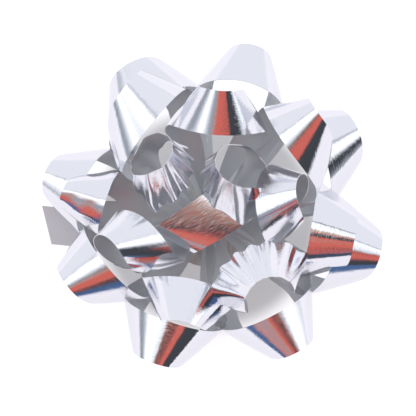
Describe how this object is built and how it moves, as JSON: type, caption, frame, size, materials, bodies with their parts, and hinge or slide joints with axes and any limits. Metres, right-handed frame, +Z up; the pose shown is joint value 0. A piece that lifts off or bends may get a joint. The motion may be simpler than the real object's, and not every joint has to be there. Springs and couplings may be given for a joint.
{
  "type": "pre-made gift bow",
  "caption": "Peel-and-stick star bow of mirror-bright silver ribbon: cone-shaped loops stapled in tiers to a round card with an adhesive pad and a peel-off liner.",
  "frame": {"origin": "middle of the underside of the release liner, on the surface that the bow stands on", "axes": "+Z up out of the bow's face; the liner's pull tab points to +X and the ribbon's free tail leaves near -X"},
  "size_m": [0.0981, 0.0975, 0.0531],
  "materials": {
    "silver_film": "polished",
    "card": "matte",
    "foam_tape": "matte",
    "waxed_paper": "satin",
    "steel_wire": "polished"
  },
  "bodies": {
    "bow": {"outer_loop_1": "silver_film", "outer_loop_2": "silver_film", "outer_loop_3": "silver_film", "outer_loop_4": "silver_film", "outer_loop_5": "silver_film", "outer_loop_6": "silver_film", "outer_loop_7": "silver_film", "outer_loop_8": "silver_film", "middle_loop_1": "silver_film", "middle_loop_2": "silver_film", "middle_loop_3": "silver_film", "middle_loop_4": "silver_film", "middle_loop_5": "silver_film", "middle_loop_6": "silver_film", "middle_loop_7": "silver_film", "middle_loop_8": "silver_film", "inner_loop_1": "silver_film", "inner_loop_2": "silver_film", "inner_loop_3": "silver_film", "centre_loop": "silver_film", "pinned_core": "silver_film", "ribbon_tail": "silver_film", "base_card": "card", "adhesive_pad": "foam_tape", "staple": "steel_wire"},
    "liner": {"release_liner": "waxed_paper"}
  },
  "joints": [
    {"name": "liner_peel", "type": "hinge", "parent": "bow", "child": "liner", "pos_m": [-0.0115, 0, 0.0002], "axis": [0, 1, 0], "range_deg": [0, 150]}
  ]
}
